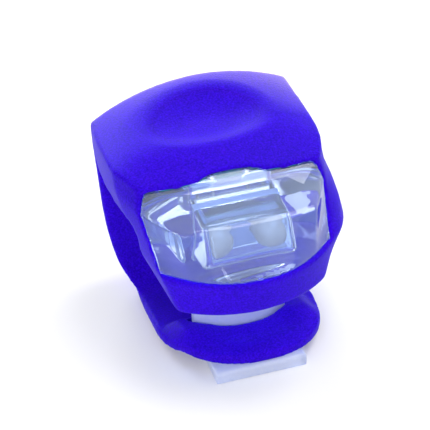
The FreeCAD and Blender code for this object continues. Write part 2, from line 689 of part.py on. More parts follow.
def switch_parts():
    """Base, cover, stem and snap disc of the push switch under the pad."""
    half = SWITCH_SIDE / 2
    high = BOARD_TOP + SWITCH_HEIGHT
    floor = BOARD_TOP + SWITCH_FLOOR
    base = box((-half, DISH_Y - half, BOARD_TOP), (half, DISH_Y + half, high))
    base = base.cut(Part.makeCylinder(half - SWITCH_WALL, FAR, V(0, DISH_Y, floor)))
    cover = box((-half, DISH_Y - half, high), (half, DISH_Y + half, high + SWITCH_COVER))
    cover = cover.cut(Part.makeCylinder(SWITCH_STEM_RADIUS + STEM_GAP, FAR, V(0, DISH_Y, BOARD_TOP)))
    disc = Part.makeCylinder(SNAP_DISC_RADIUS, SNAP_DISC_THICKNESS, V(0, DISH_Y, floor))
    foot_high = high - STEM_GAP
    foot_low = foot_high - STEM_FOOT_HEIGHT
    stem = Part.makeCylinder(SWITCH_STEM_RADIUS, SWITCH_STEM_TOP - foot_low, V(0, DISH_Y, foot_low))
    foot = Part.makeCylinder(SWITCH_STEM_FOOT, STEM_FOOT_HEIGHT, V(0, DISH_Y, foot_low))
    return base, cover, stem.fuse(foot).removeSplitter(), disc


def on_board(size, place):
    """Small block that stands on the board."""
    x, y = place
    return box((x - size[0] / 2, y - size[1] / 2, BOARD_TOP),
               (x + size[0] / 2, y + size[1] / 2, BOARD_TOP + size[2]))


def model():
    """Every piece of the light by name."""
    capsule = capsule_solid()
    parts = {
        "silicone_hood": silicone_hood(capsule),
        "silicone_strap": silicone_strap(),
        "press_pad": press_pad(),
        "clear_housing": clear_housing(capsule),
        "battery_cover": battery_cover(capsule),
        "circuit_board": circuit_board(),
        "led_left": led(-1),
        "led_right": led(1),
        "led_leads": led_leads(),
        "led_holder": led_holder(),
        "controller_chip": on_board(CHIP, CHIP_PLACE),
        "resistors": Part.makeCompound([on_board(RESISTOR, place) for place in RESISTOR_PLACES]),
        "capacitor": on_board(CAPACITOR, CAPACITOR_PLACE),
    }
    for number in (1, 2):
        can, gasket, cap = cell_parts(CELL_LOW + (number - 1) * CELL_HEIGHT)
        parts["cell_%d_can" % number] = can
        parts["cell_%d_gasket" % number] = gasket
        parts["cell_%d_cap" % number] = cap
    names = ("switch_base", "switch_cover", "switch_stem", "switch_disc")
    parts.update(zip(names, switch_parts()))
    parts.update(zip(("contact_negative", "contact_positive"), contacts()))
    return parts


os.makedirs("parts", exist_ok=True)
for name, shape in model().items():
    shape.translate(-ORIGIN)
    shape.exportStep("parts/%s.step" % name)
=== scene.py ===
"""A clip-on bike light: a clear faceted housing with two LEDs inside a soft silicone sleeve."""
import json
import logging
import math
from dataclasses import dataclass, field
from enum import Enum
from typing import Callable, Iterable, Sequence

import bmesh
import bpy
from mathutils import Matrix, Vector

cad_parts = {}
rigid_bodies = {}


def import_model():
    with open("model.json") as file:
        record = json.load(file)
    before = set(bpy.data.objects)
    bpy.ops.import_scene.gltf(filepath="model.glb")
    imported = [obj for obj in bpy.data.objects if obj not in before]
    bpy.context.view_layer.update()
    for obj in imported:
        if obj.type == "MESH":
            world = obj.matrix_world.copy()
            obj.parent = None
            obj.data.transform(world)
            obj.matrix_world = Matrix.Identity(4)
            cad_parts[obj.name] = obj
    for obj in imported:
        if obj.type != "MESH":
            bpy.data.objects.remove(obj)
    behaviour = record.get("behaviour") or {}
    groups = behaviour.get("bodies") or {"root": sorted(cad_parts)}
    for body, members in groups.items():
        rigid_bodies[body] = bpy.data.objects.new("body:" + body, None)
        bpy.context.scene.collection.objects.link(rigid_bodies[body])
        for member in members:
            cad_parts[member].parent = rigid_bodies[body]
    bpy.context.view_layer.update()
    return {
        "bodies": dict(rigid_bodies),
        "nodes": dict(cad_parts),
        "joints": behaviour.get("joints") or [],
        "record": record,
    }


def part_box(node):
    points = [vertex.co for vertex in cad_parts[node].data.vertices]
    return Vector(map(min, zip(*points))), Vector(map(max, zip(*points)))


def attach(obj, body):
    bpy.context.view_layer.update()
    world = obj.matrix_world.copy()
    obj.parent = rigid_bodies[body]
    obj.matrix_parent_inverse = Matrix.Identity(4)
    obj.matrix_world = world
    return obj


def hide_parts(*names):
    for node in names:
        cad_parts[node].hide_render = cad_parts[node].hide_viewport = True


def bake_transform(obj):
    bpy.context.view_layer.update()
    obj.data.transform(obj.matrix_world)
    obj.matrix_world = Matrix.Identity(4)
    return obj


# Metres in a millimetre. The sizes in the classes are millimetres in the frame: X across, Y back, Z up.
MM = 0.001
MERGE_METRES = 1e-6
WELD_METRES = 1e-7
CUT_METRES = 1e-9
SHARP_DEGREES = 30.0
SOFT_DEGREES = 60.0
SMOOTHING_FACTOR = 0.5
FACING_FORWARDS = Matrix.Rotation(math.radians(90.0), 3, "X")
# Heights in the sleeve: above the first is the dome's top, and below the second the strap's lip.
DOME_LOW_Z = 29.0
LIP_HIGH_Z = 10.5
PHOTO_SIDE_PIXELS = 430.0
SENSOR_WIDTH = 36.0
LOG = logging.getLogger("bike_light")

Place = tuple[float, float, float]
Span = tuple[float, float]
Colour = tuple[float, float, float]
Shape = bmesh.types.BMesh
Piece = bpy.types.Object
Socket = bpy.types.NodeSocket


class Side(Enum):
    """The two sides of the light's middle plane."""

    LEFT = -1
    RIGHT = 1


def ease(value: float, start: float, end: float) -> float:
    """A smooth step.

    Args:
        value: where on the step.
        start: where the step begins.
        end: where it ends, on either side of the start.

    Returns:
        0 before the start, 1 past the end, and a smooth rise between them.
    """
    share = min(1.0, max(0.0, (value - start) / (end - start)))
    return share * share * (3.0 - 2.0 * share)


# Meshes. Shapes are in metres, and the sizes that a helper is given are in millimetres.


def linked(name: str, data: bpy.types.ID) -> Piece:
    """Makes an object of some data and links it to the scene.

    Args:
        name: the object's name.
        data: its mesh, lamp or camera.

    Returns:
        The object.
    """
    made = bpy.data.objects.new(name, data)
    bpy.context.scene.collection.objects.link(made)
    return made


def shade(mesh: bpy.types.Mesh, degrees: float) -> None:
    """Shades a mesh smooth, except at edges that turn by more than some degrees."""
    mesh.shade_smooth()
    mesh.set_sharp_from_angle(angle=math.radians(degrees))


def object_of(name: str, shape: Shape) -> Piece:
    """Makes a piece of a finished shape.

    Args:
        name: the piece's name.
        shape: its shape, in metres in the frame, which is freed.

    Returns:
        The piece, linked to the scene.
    """
    mesh = bpy.data.meshes.new(name)
    shape.to_mesh(mesh)
    shape.free()
    shade(mesh, SHARP_DEGREES)
    return linked(name, mesh)


def settle(piece: Piece) -> None:
    """Turns a piece's live modifiers into its own mesh.

    Args:
        piece: the piece, which changes.
    """
    graph = bpy.context.evaluated_depsgraph_get()
    graph.update()
    old = piece.data
    piece.data = bpy.data.meshes.new_from_object(piece.evaluated_get(graph))
    piece.modifiers.clear()
    bpy.data.meshes.remove(old)


def shape_of(piece: Piece) -> Shape:
    """Reads a piece's mesh into a bmesh.

    Args:
        piece: the piece.

    Returns:
        The bmesh.
    """
    shape = bmesh.new()
    shape.from_mesh(piece.data)
    return shape


def reshape(piece: Piece, shape: Shape) -> None:
    """Writes a bmesh back into its piece.

    Args:
        piece: the piece, which changes.
        shape: its new shape, which is freed.
    """
    shape.to_mesh(piece.data)
    shape.free()
    piece.data.update()


def face_outwards(shape: Shape) -> None:
    """Merges doubles and points every face outwards."""
    bmesh.ops.remove_doubles(shape, verts=shape.verts, dist=WELD_METRES)
    bmesh.ops.recalc_face_normals(shape, faces=shape.faces)


def soften(shape: Shape, verts: Iterable[bmesh.types.BMVert], times: int) -> None:
    """Smooths some of a shape's vertices.

    Args:
        shape: the shape, which changes.
        verts: the vertices to smooth.
        times: how many times.
    """
    for _ in range(times):
        bmesh.ops.smooth_vert(shape, verts=verts, factor=SMOOTHING_FACTOR, use_axis_x=True,
                              use_axis_y=True, use_axis_z=True)


def skinned(name: str, shape: Shape, voxel: float) -> Piece:
    """Makes a piece of the evenly meshed skin round a shape.

    Args:
        name: the piece's name.
        shape: closed solids that may overlap, which are freed.
        voxel: the skin's mesh size, in millimetres.

    Returns:
        The piece.
    """
    bmesh.ops.remove_doubles(shape, verts=shape.verts, dist=MERGE_METRES)
    piece = object_of(name, shape)
    voxels = piece.modifiers.new("voxels", "REMESH")
    voxels.mode = "VOXEL"
    voxels.voxel_size = voxel * MM
    settle(piece)
    return piece


def cut_with(piece: Piece, tool: Piece, how: str) -> None:
    """Cuts a piece with a tool.

    Args:
        piece: the piece to cut, which changes.
        tool: the closed tool.
        how: DIFFERENCE or INTERSECT.
    """
    cut = piece.modifiers.new("cut", "BOOLEAN")
    cut.operation = how
    cut.object = tool
    cut.solver = "EXACT"
    settle(piece)


def block(low: Place, high: Place, round_mm: float = 0.0) -> Shape:
    """Makes a block with rounded edges.

    Args:
        low: its low corner, in millimetres.
        high: its high corner, in millimetres.
        round_mm: how far its edges are rounded, in millimetres.

    Returns:
        The block.
    """
    shape = bmesh.new()
    bmesh.ops.create_cube(shape, size=1.0)
    size = [(b - a) * MM for a, b in zip(low, high)]
    middle = [(b + a) / 2.0 * MM for a, b in zip(low, high)]
    bmesh.ops.scale(shape, vec=size, verts=shape.verts)
    bmesh.ops.translate(shape, vec=middle, verts=shape.verts)
    if round_mm > 0.0:
        bmesh.ops.bevel(shape, geom=shape.edges[:], offset=round_mm * MM, offset_type="OFFSET",
                        affect="EDGES", segments=2, profile=0.5, material=-1)
    return shape


def joined(shapes: Iterable[Shape]) -> Shape:
    """Puts several shapes into one.

    Args:
        shapes: the shapes, which are freed.

    Returns:
        The one shape.
    """
    whole = bmesh.new()
    for shape in shapes:
        part = bpy.data.meshes.new("part")
        shape.to_mesh(part)
        shape.free()
        whole.from_mesh(part)
        bpy.data.meshes.remove(part)
    return whole


def raised(shape: Shape, faces: Sequence[bmesh.types.BMFace]) -> list[bmesh.types.BMVert]:
    """Extrudes some faces in place, and returns the new faces' vertices."""
    made = bmesh.ops.extrude_face_region(shape, geom=faces)
    return [item for item in made["geom"] if isinstance(item, bmesh.types.BMVert)]


def led_axis(side: Side) -> Span:
    """Where one LED's axis is, across and up, in millimetres."""
    low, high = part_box(f"led_{side.name.lower()}")
    return (low.x + high.x) / 2.0 / MM, (low.z + high.z) / 2.0 / MM


# Materials


class Desk:
    """Adds nodes to one tree and links them."""

    def __init__(self, tree: bpy.types.NodeTree) -> None:
        """Keeps the tree."""
        self.tree = tree

    def add(self, kind: str, inputs: dict[str | int, object] | None = None,
            **settings: object) -> bpy.types.Node:
        """Adds a node.

        Args:
            kind: the node's type name.
            inputs: values, or sockets to link, by input name or number.
            settings: the node's own settings.

        Returns:
            The node.
        """
        node = self.tree.nodes.new(kind)
        for key, value in settings.items():
            setattr(node, key, value)
        for key, value in (inputs or {}).items():
            self.feed(node.inputs[key], value)
        return node

    def feed(self, socket: Socket, value: object) -> None:
        """Links an output to a socket, or sets the socket's own value.

        Args:
            socket: a node's input.
            value: another node's output, or a plain value.
        """
        if isinstance(value, Socket):
            self.tree.links.new(value, socket)
        else:
            socket.default_value = value

    def maths(self, operation: str, first: object, second: object) -> Socket:
        """The result of a Math node."""
        return self.add("ShaderNodeMath", {0: first, 1: second}, operation=operation).outputs[0]

    def ramp(self, value: object, span: Span, out: Span = (0.0, 1.0)) -> Socket:
        """Moves a value from one range to another, and holds it there.

        Args:
            value: a node's output, or a plain value.
            span: the range that it comes from.
            out: the range that it goes to.

        Returns:
            The moved value.
        """
        node = self.add("ShaderNodeMapRange", {"Value": value, "From Min": span[0], "From Max": span[1],
                                               "To Min": out[0], "To Max": out[1]})
        return node.outputs["Result"]

    def noise(self, vector: Socket, scale: object, detail: float, roughness: float = 0.5) -> Socket:
        """Adds a Noise Texture.

        Args:
            vector: its coordinates.
            scale: its scale, per metre.
            detail: how many finer layers it has.
            roughness: how strong the finer layers are.

        Returns:
            Its value.
        """
        node = self.add("ShaderNodeTexNoise", {"Vector": vector, "Scale": scale, "Detail": detail,
                                               "Roughness": roughness})
        return node.outputs["Fac"]

    def axes(self, vector: Socket) -> dict[str, Socket]:
        """The three parts of a vector, by axis."""
        parts = self.add("ShaderNodeSeparateXYZ", {"Vector": vector}).outputs
        return {axis: parts[axis] for axis in "XYZ"}

    def show(self, kind: str, surface: Socket) -> None:
        """Ends the tree in an output node of some kind that shows the surface."""
        self.feed(self.add(kind).inputs["Surface"], surface)

    def tinted(self, share: object, first: object, second: object) -> Socket:
        """Mixes two colours.

        Args:
            share: the second colour's share.
            first: the first colour.
            second: the second colour.

        Returns:
            The mixed colour.
        """
        node = self.add("ShaderNodeMix", data_type="RGBA", blend_type="MIX")
        for number, value in ((0, share), (6, first), (7, second)):
            self.feed(node.inputs[number], value)
        return node.outputs[2]


def cleared(owner: bpy.types.Material | bpy.types.World) -> Desk:
    """Empties the tree of a material or a world.

    Args:
        owner: the material or the world.

    Returns:
        A desk on its empty tree.
    """
    owner.use_nodes = True
    owner.node_tree.nodes.clear()
    return Desk(owner.node_tree)


def new_group(name: str, inputs: Sequence[tuple[str, float]], outputs: Sequence[str],
              fill: Callable[[Desk, bpy.types.Node, bpy.types.Node], None]) -> bpy.types.NodeTree:
    """Builds a shader node group.

    Args:
        name: the group's name.
        inputs: its number inputs, with their values.
        outputs: its number outputs.
        fill: a function that adds the nodes between the group's input and output.

    Returns:
        The group.
    """
    group = bpy.data.node_groups.new(name, "ShaderNodeTree")
    for title, value in inputs:
        socket = group.interface.new_socket(name=title, in_out="INPUT",
                                            socket_type="NodeSocketFloat")
        socket.default_value = value
    for title in outputs:
        group.interface.new_socket(name=title, in_out="OUTPUT", socket_type="NodeSocketFloat")
    desk = Desk(group)
    fill(desk, desk.add("NodeGroupInput"), desk.add("NodeGroupOutput"))
    return group


CONTRAST: Span = (0.3, 0.7)
CLOUD_CONTRAST: Span = (0.32, 0.68)
CLOUD_SCALE_SHARE = 0.055
STAIN_SCALE = 260.0
ROLLED_STRETCH: Place = (0.04, 1.0, 1.0)


def fill_grain(desk: Desk, given: bpy.types.Node, result: bpy.types.Node) -> None:
    """Moulded grain: a fine speckle for the relief, and slow clouds for the tone.

    Args:
        desk: the group's desk.
        given: the group's input node.
        result: the group's output node.
    """
    place = desk.add("ShaderNodeTexCoord").outputs["Object"]
    fine = desk.noise(place, given.outputs["Scale"], detail=2.0, roughness=0.6)
    slow_scale = desk.maths("MULTIPLY", given.outputs["Scale"], CLOUD_SCALE_SHARE)
    slow = desk.noise(place, slow_scale, detail=3.0, roughness=0.55)
    share = desk.add("ShaderNodeMix", {0: given.outputs["Speckle"], 2: desk.ramp(slow, CLOUD_CONTRAST),
                                       3: desk.ramp(fine, CONTRAST)})
    desk.feed(result.inputs["Tone"], share.outputs[0])
    desk.feed(result.inputs["Height"], fine)


def fill_rolled(desk: Desk, given: bpy.types.Node, result: bpy.types.Node) -> None:
    """Rolled metal: fine lines along X, and faint stains.

    Args:
        desk: the group's desk.
        given: the group's input node.
        result: the group's output node.
    """
    place = desk.add("ShaderNodeTexCoord").outputs["Object"]
    drawn = desk.add("ShaderNodeMapping", {"Vector": place, "Scale": ROLLED_STRETCH})
    lines = desk.noise(drawn.outputs["Vector"], given.outputs["Scale"], detail=4.0, roughness=0.65)
    stains = desk.noise(place, STAIN_SCALE, detail=2.0)
    mixed = desk.add("ShaderNodeMix", {0: given.outputs["Speckle"], 2: stains, 3: lines})
    desk.feed(result.inputs["Tone"], desk.ramp(mixed.outputs[0], CONTRAST))
    desk.feed(result.inputs["Height"], lines)


class Surface(Enum):
    """The pattern that a finish carries."""

    GRAIN = "grain"
    ROLLED = "rolled"


class Patterns:
    """The node groups that the materials share."""

    def __init__(self) -> None:
        """Builds each group once."""
        sockets = [("Scale", 3000.0), ("Speckle", 0.5)]
        outs = ["Tone", "Height"]
        self.groups = {
            Surface.GRAIN: new_group("moulded_grain", sockets, outs, fill_grain),
            Surface.ROLLED: new_group("rolled_metal", sockets, outs, fill_rolled),
        }


@dataclass(frozen=True)
class PaintedSheen:
    """A pale sheen painted into the silicone's colour where its upward faces turn away from the eye: a
    painted highlight in place of the back lamp's reflection.

    It grows towards the back of the dome's top, and from left to right.
    """

    colour: Colour
    power: float = 3.6
    upright: Span = (0.1, 0.7)
    y: Span = (19.0, 29.0)
    x: Span = (-15.0, 2.0)
    left_share: float = 0.25

    def over(self, desk: Desk, base: Socket, normal: Socket) -> Socket:
        """Paints the sheen, a painted highlight, over a colour.

        Args:
            desk: the material's desk.
            base: the colour under the sheen.
            normal: the surface's normal, with its relief.

        Returns:
            The colour with the painted sheen.
        """
        facing = desk.add("ShaderNodeLayerWeight", {"Blend": 0.5, "Normal": normal})
        share = desk.maths("POWER", facing.outputs["Facing"], self.power)
        turned = desk.axes(desk.add("ShaderNodeNewGeometry").outputs["Normal"])
        place = desk.axes(desk.add("ShaderNodeTexCoord").outputs["Object"])
        back, across = ((start * MM, end * MM) for start, end in (self.y, self.x))
        for limit in (desk.ramp(turned["Z"], self.upright), desk.ramp(place["Y"], back),
                      desk.ramp(place["X"], across, (self.left_share, 1.0))):
            share = desk.maths("MULTIPLY", share, limit)
        return desk.tinted(share, base, (*self.colour, 1.0))


@dataclass(frozen=True)
class Finish:
    """One finish of a real material: two tones, its gloss and its relief, and on some a painted sheen.
    """

    name: str
    light: Colour
    dark: Colour
    rough: Span
    scale: float = 3000.0
    speckle: float = 0.5
    relief: float = 0.01
    strength: float = 0.3
    metallic: float = 0.0
    specular: float = 0.5
    ior: float = 1.45
    transmission: float = 0.0
    sheen: float = 0.0
    coat: float = 0.0
    depth: float = 0.0
    depth_colour: Colour = (0.1, 0.05, 1.0)
    depth_reach: float = 3.0
    lets_light: float = 0.0
    # painted_sheen: a highlight painted into the base colour, in place of lamp light
    painted_sheen: PaintedSheen | None = None
    surface: Surface = Surface.GRAIN

    def material(self, patterns: Patterns) -> bpy.types.Material:
        """Builds the material.

        Args:
            patterns: the shared node groups.

        Returns:
            The material.
        """
        made = bpy.data.materials.new(self.name)
        desk = cleared(made)
        pattern = desk.add("ShaderNodeGroup", node_tree=patterns.groups[self.surface])
        pattern.inputs["Scale"].default_value = self.scale
        pattern.inputs["Speckle"].default_value = self.speckle
        tone, height = pattern.outputs["Tone"], pattern.outputs["Height"]
        relief = desk.add("ShaderNodeBump", {"Strength": self.strength, "Distance": self.relief * MM,
                                             "Height": height}).outputs["Normal"]
        base = desk.tinted(tone, (*self.dark, 1.0), (*self.light, 1.0))
        # Painted sheen: a highlight painted into the base colour
        if self.painted_sheen is not None:
            base = self.painted_sheen.over(desk, base, relief)
        surface = desk.add("ShaderNodeBsdfPrincipled", {
            "Base Color": base,
            "Roughness": desk.ramp(tone, (0.0, 1.0), self.rough),
            "Normal": relief,
            "Metallic": self.metallic,
            "Specular IOR Level": self.specular,
            "IOR": self.ior,
            "Transmission Weight": self.transmission,
            "Sheen Weight": self.sheen,
            "Coat Weight": self.coat,
            "Subsurface Weight": self.depth,
            "Subsurface Radius": self.depth_colour,
            "Subsurface Scale": self.depth_reach * MM,
        }).outputs[0]
        if self.lets_light > 0.0:
            surface = self.lit_through(desk, surface)
        desk.show("ShaderNodeOutputMaterial", surface)
        return made

    def lit_through(self, desk: Desk, surface: Socket) -> Socket:
        """Lets the lamps' light through glass.

        Args:
            desk: the material's desk.
            surface: the glass, as every other ray meets it.

        Returns:
            The mixed shader.
        """
        shade_ray = desk.add("ShaderNodeLightPath").outputs["Is Shadow Ray"]
        passed = (*(part * self.lets_light for part in self.light), 1.0)
        through = desk.add("ShaderNodeBsdfTransparent", {"Color": passed}).outputs[0]
        return desk.add("ShaderNodeMixShader", {0: shade_ray, 1: surface, 2: through}).outputs[0]


# The silicone's colour carries a painted sheen, a highlight in place of the back lamp's reflection on
# the dome's top.
SILICONE = Finish(
    "blue_violet_silicone_painted_sheen", light=(0.048, 0.0028, 0.82), dark=(0.016, 0.001, 0.42),
    rough=(0.4, 0.5), scale=3100.0, speckle=0.85, relief=0.035, strength=1.0, specular=0.035,
    ior=1.41, sheen=0.02, depth=0.3, painted_sheen=PaintedSheen((1.0, 0.82, 1.0)),
)
FROSTED_PLASTIC = Finish(
    "satin_moulded_plastic", light=(0.74, 0.8, 1.0), dark=(0.62, 0.7, 0.98),
    rough=(0.26, 0.4), scale=1400.0, relief=0.005, strength=0.2, ior=1.49, transmission=0.45,
    lets_light=0.9,
)
CLEAR_PLASTIC = Finish(
    "clear_moulded_plastic", light=(0.61, 0.76, 1.0), dark=(0.56, 0.71, 1.0),
    rough=(0.015, 0.035), scale=900.0, relief=0.001, strength=0.15, ior=1.49, transmission=0.9,
    lets_light=0.9,
)
LED_EPOXY = Finish(
    "water_clear_epoxy", light=(0.72, 0.57, 0.44), dark=(0.53, 0.42, 0.33),
    rough=(0.04, 0.08), scale=1200.0, relief=0.001, strength=0.15, ior=1.53, transmission=0.35,
    lets_light=0.5,
)
GREY_PLASTIC = Finish(
    "grey_reflector_plastic", light=(0.3, 0.38, 0.64), dark=(0.22, 0.3, 0.55),
    rough=(0.28, 0.42), scale=2600.0, relief=0.006,
)
BLACK_PLASTIC = Finish(
    "black_moulded_plastic", light=(0.035, 0.035, 0.04), dark=(0.02, 0.02, 0.023),
    rough=(0.4, 0.55), scale=3000.0, relief=0.008,
)
SOLDER_MASK = Finish(
    "green_solder_mask", light=(0.02, 0.36, 0.2), dark=(0.012, 0.24, 0.13),
    rough=(0.22, 0.34), scale=1500.0, speckle=0.25, relief=0.006, coat=0.25,
)
TAN_CERAMIC = Finish(
    "fired_tan_ceramic", light=(0.56, 0.42, 0.27), dark=(0.44, 0.32, 0.2),
    rough=(0.35, 0.5), scale=5200.0, speckle=0.7, relief=0.006,
)
CELL_STEEL = Finish(
    "plated_cell_steel", light=(0.76, 0.76, 0.78), dark=(0.6, 0.6, 0.63),
    rough=(0.2, 0.34), scale=5200.0, speckle=0.75, relief=0.003, metallic=1.0,
    surface=Surface.ROLLED,
)
SPRUNG_BRASS = Finish(
    "sprung_brass_sheet", light=(0.78, 0.62, 0.33), dark=(0.62, 0.47, 0.22),
    rough=(0.22, 0.36), scale=4600.0, speckle=0.7, relief=0.003, metallic=1.0,
    surface=Surface.ROLLED,
)
TINNED_STEEL = Finish(
    "tinned_steel", light=(0.8, 0.8, 0.82), dark=(0.64, 0.65, 0.68),
    rough=(0.2, 0.33), scale=6000.0, speckle=0.6, relief=0.003, metallic=1.0,
    surface=Surface.ROLLED,
)
SOLDER = Finish(
    "bright_solder", light=(0.83, 0.83, 0.85), dark=(0.66, 0.67, 0.7),
    rough=(0.14, 0.26), scale=2500.0, relief=0.004, metallic=1.0,
)
GOLD = Finish(
    "bond_gold", light=(0.95, 0.72, 0.3), dark=(0.82, 0.58, 0.22),
    rough=(0.2, 0.3), scale=5000.0, relief=0.002, metallic=1.0,
)
DIE = Finish(
    "led_die", light=(0.78, 0.7, 0.42), dark=(0.6, 0.5, 0.26),
    rough=(0.3, 0.45), scale=9000.0, relief=0.003,
)

NODE_FINISHES: dict[str, Finish] = {
    "battery_cover": CLEAR_PLASTIC,
    "led_left": LED_EPOXY,
    "led_right": LED_EPOXY,
    "led_leads": TINNED_STEEL,
    "led_holder": GREY_PLASTIC,
    "circuit_board": SOLDER_MASK,
    "controller_chip": BLACK_PLASTIC,
    "resistors": BLACK_PLASTIC,
    "capacitor": TAN_CERAMIC,
    "cell_1_can": CELL_STEEL,
    "cell_1_cap": CELL_STEEL,
    "cell_1_gasket": BLACK_PLASTIC,
    "cell_2_can": CELL_STEEL,
    "cell_2_cap": CELL_STEEL,
    "cell_2_gasket": BLACK_PLASTIC,
    "contact_negative": SPRUNG_BRASS,
    "contact_positive": SPRUNG_BRASS,
    "switch_base": BLACK_PLASTIC,
    "switch_cover": TINNED_STEEL,
    "switch_disc": TINNED_STEEL,
    "switch_stem": BLACK_PLASTIC,
}


class PaintShop:
    """Makes each finish's material once, and dresses the pieces."""

    def __init__(self) -> None:
        """Builds the shared patterns."""
        self.patterns = Patterns()
        self.made: dict[str, bpy.types.Material] = {}

    def material(self, finish: Finish) -> bpy.types.Material:
        """Makes a finish's material, the first time that it is asked for.

        Args:
            finish: the finish.

        Returns:
            Its material.
        """
        if finish.name not in self.made:
            self.made[finish.name] = finish.material(self.patterns)
        return self.made[finish.name]

    def dress(self, piece: Piece, finish: Finish) -> None:
        """Gives every face of a piece one finish."""
        piece.data.materials.clear()
        piece.data.materials.append(self.material(finish))

    def deliver(self, piece: Piece, finish: Finish, slot: str) -> None:
        """Dresses a new piece and reports it.

        Args:
            piece: the piece.
            finish: its finish.
            slot: the record's material slot that it belongs to; not used.
        """
        self.dress(piece, finish)
        LOG.info("piece %s: %d faces", piece.name, len(piece.data.polygons))

    def dress_nodes(self, nodes: dict[str, Piece]) -> None:
        """Gives the CAD nodes that stay their finishes.

        Args:
            nodes: the CAD nodes, by name.
        """
        for name, finish in NODE_FINISHES.items():
            for place in nodes[name].material_slots:
                place.link = "OBJECT"
                place.material = self.material(finish)
            LOG.info("node %s: %s", name, finish.name)


@dataclass
class ThumbPad:
    """The oval pad in the dome's top, and the prism that parts it from the sleeve."""

    middle: Place = (0.0, 21.3, 0.0)
    axes: Span = (9.0, 6.2)
    spread: float = 0.25
    slit: float = 0.01
    foot: float = 29.7
    top: float = 45.0
    sides: int = 96

    def spread_out(self, pad: Shape) -> None:
        """Widens the CAD pad until it meets the hood.

        Args:
            pad: the CAD pad's shape, which changes.
        """
        widths = [(axis + self.spread) / axis for axis in self.axes]
        bmesh.ops.scale(pad, vec=(*widths, 1.0), space=Matrix.Translation(-Vector(self.middle) * MM),
                        verts=pad.verts)

    def tool(self, slack: float) -> Piece:
        """The upright elliptical prism that parts the pad from the hood.

        Args:
            slack: how far it stands outside the pad's own outline, in millimetres.

        Returns:
            The tool.
        """
        shape = bmesh.new()
        bmesh.ops.create_circle(shape, cap_ends=True, radius=1.0, segments=self.sides)
        sizes = [(axis + slack) * MM for axis in self.axes]
        bmesh.ops.scale(shape, vec=(*sizes, 1.0), verts=shape.verts)
        place = Vector(self.middle) * MM + Vector((0.0, 0.0, self.foot * MM))
        bmesh.ops.translate(shape, vec=place, verts=shape.verts)
        top = raised(shape, shape.faces[:])
        bmesh.ops.translate(shape, vec=(0.0, 0.0, (self.top - self.foot) * MM), verts=top)
        face_outwards(shape)
        return object_of("pad_tool", shape)

    def part_from(self, sleeve: Piece) -> Piece:
        """Cuts the pad out of the sleeve's top.

        Args:
            sleeve: the whole sleeve, which loses its pad.

        Returns:
            The pad.
        """
        pad = linked("thumb_pad", sleeve.data.copy())
        for piece, slack, how in ((pad, -self.slit, "INTERSECT"), (sleeve, self.slit, "DIFFERENCE")):
            tool = self.tool(slack)
            cut_with(piece, tool, how)
            bpy.data.objects.remove(tool)
        return pad


@dataclass
class SoftEdges:
    """Where the sleeve is rounder than the CAD solids: the dish, the chin and the brow."""

    pad: ThumbPad
    dish_reach: float = 1.32
    dish_times: int = 34
    chin_z: Span = (LIP_HIGH_Z, 17.2)
    chin_front: float = 6.5
    chin_times: int = 16
    brow_z: Span = (26.8, 30.8)
    brow_y: Span = (2.0, 9.5)
    brow_times: int = 6

    def in_dish(self, place: Vector) -> bool:
        """Tells whether a place is in the dish or on its edge.

        Args:
            place: the place, in millimetres.

        Returns:
            True if it is.
        """
        middle = Vector(self.pad.middle)
        half = [axis * self.dish_reach for axis in self.pad.axes]
        away = math.hypot((place.x - middle.x) / half[0], (place.y - middle.y) / half[1])
        return place.z > DOME_LOW_Z and away < 1.0

    def in_chin(self, place: Vector) -> bool:
        """Whether a place, in millimetres, is in the chin."""
        return self.chin_z[0] < place.z < self.chin_z[1] and place.y < self.chin_front

    def in_brow(self, place: Vector) -> bool:
        """Whether a place, in millimetres, is in the brow over the lens."""
        return (self.brow_z[0] < place.z < self.brow_z[1]
                and self.brow_y[0] < place.y < self.brow_y[1])

    def apply(self, skin: Shape) -> None:
        """Rounds the dish first, and then the chin and the brow.

        Args:
            skin: the whole sleeve's skin, which changes.
        """
        soften(skin, [v for v in skin.verts if self.in_dish(v.co / MM)], self.dish_times)
        chin = [v for v in skin.verts if self.in_chin(v.co / MM)]
        brow = [v for v in skin.verts if self.in_brow(v.co / MM)]
        soften(skin, chin, self.chin_times)
        soften(skin, brow, self.brow_times)


@dataclass
class Hollow:
    """The broad hollow that the thumb dish sits in."""

    middle: Span = (-1.2, 20.4)
    half: Span = (14.6, 10.2)
    depth: float = 0.65
    flat_share: float = 0.2
    least_upright: float = 0.3

    def apply(self, skin: Shape) -> None:
        """Sinks the top of the dome into the hollow.

        Args:
            skin: the whole sleeve's skin, which changes.
        """
        for vert in skin.verts:
            x, y, z = vert.co / MM
            if z > DOME_LOW_Z and vert.normal.z > self.least_upright:
                away = math.hypot((x - self.middle[0]) / self.half[0],
                                  (y - self.middle[1]) / self.half[1])
                vert.co.z -= self.depth * MM * ease(away, 1.0, self.flat_share)


